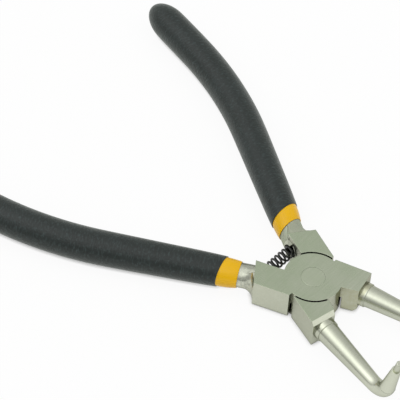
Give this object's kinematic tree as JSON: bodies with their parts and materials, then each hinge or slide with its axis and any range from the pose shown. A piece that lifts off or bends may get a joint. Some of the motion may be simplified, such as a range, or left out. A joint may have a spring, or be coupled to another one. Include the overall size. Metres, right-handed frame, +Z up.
{
  "type": "circlip pliers",
  "caption": "Internal circlip pliers: levers crossed at a riveted half-lap joint, bent tapered tips with round pins, a return spring and dipped bow-shaped grips.",
  "frame": {"origin": "on the pivot axis at the head's bottom face", "axes": "+X from the pivot towards the jaws along the tool's centre line, +Z up along the pivot axis"},
  "size_m": [0.1767, 0.122, 0.0287],
  "materials": {
    "forged_steel": "satin",
    "rivet_steel": "satin",
    "spring_wire": "semi-gloss",
    "inner_dip": "semi-gloss",
    "outer_dip": "matte",
    "pin_steel": "satin"
  },
  "bodies": {
    "upper_lever": {"lever_upper": "forged_steel", "pivot_rivet": "rivet_steel", "return_spring": "spring_wire", "inner_sleeve_upper": "inner_dip", "grip_upper": "outer_dip", "tip_pin_upper": "pin_steel"},
    "lower_lever": {"lever_lower": "forged_steel", "inner_sleeve_lower": "inner_dip", "grip_lower": "outer_dip", "tip_pin_lower": "pin_steel"}
  },
  "joints": [
    {"name": "pivot", "type": "hinge", "parent": "upper_lever", "child": "lower_lever", "pos_m": [0, 0, 0], "axis": [0, 0, 1], "range_deg": [-5.9, 33], "stiffness_Nm_per_rad": 0.95, "deforming": ["return_spring"]}
  ]
}
